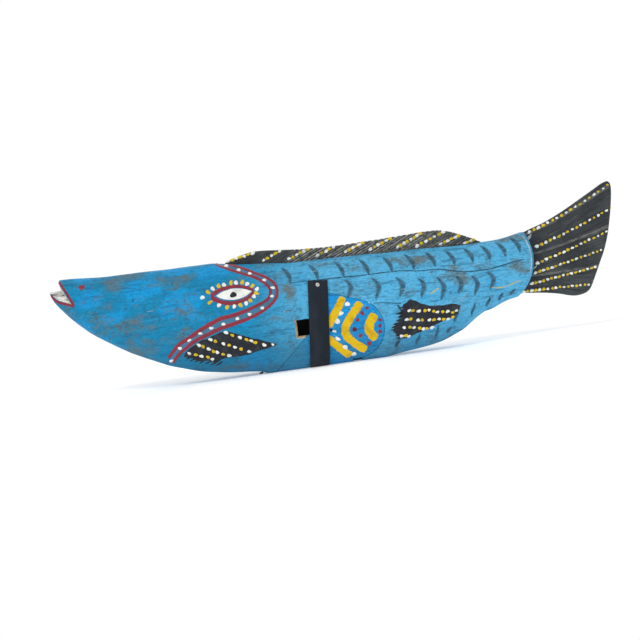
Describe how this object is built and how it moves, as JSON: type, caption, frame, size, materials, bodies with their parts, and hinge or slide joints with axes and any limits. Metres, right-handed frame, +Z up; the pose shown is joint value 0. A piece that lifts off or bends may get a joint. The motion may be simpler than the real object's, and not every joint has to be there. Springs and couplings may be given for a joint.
{
  "type": "fish-shaped guiro",
  "caption": "Carved and painted wooden fish with a ridged dorsal fin, a small window in each flank and a hinged belly flap held shut by a nailed rubber strap.",
  "frame": {"origin": "middle of the bounding box, on the surface that the belly stands on", "axes": "-X towards the head, +X towards the tail, +Z up towards the dorsal fin, Y across the fish"},
  "size_m": [0.64, 0.0912, 0.161],
  "materials": {
    "blue_paint": "thin matt blue paint over adze-cut wood, worn",
    "black_paint": "matt black paint over carved wood",
    "bare_wood": "bare cut wood",
    "flap_paint": "fresh blue paint with yellow chevrons",
    "red_paint": "dark red paint",
    "strap_rubber": "matt black rubber",
    "nail_steel": "bright nail",
    "hook_steel": "rusty nail"
  },
  "bodies": {
    "fish": {"body_log": "blue_paint", "dorsal_fin": "black_paint", "fin_dowels": "bare_wood", "tail_fin": "black_paint", "tail_pegs": "bare_wood", "rubber_strap": "strap_rubber", "strap_nails": "nail_steel", "belly_hook": "hook_steel"},
    "flap": {"belly_flap": "flap_paint", "pivot_pin": "red_paint"}
  },
  "joints": [
    {"name": "flap_swing", "type": "hinge", "parent": "fish", "child": "flap", "pos_m": [0.01, 0, 0.037], "axis": [0, -1, 0], "range_deg": [0, 14], "stiffness_Nm_per_rad": 1.5, "springref_deg": -5.73, "deforming": ["rubber_strap"]}
  ]
}
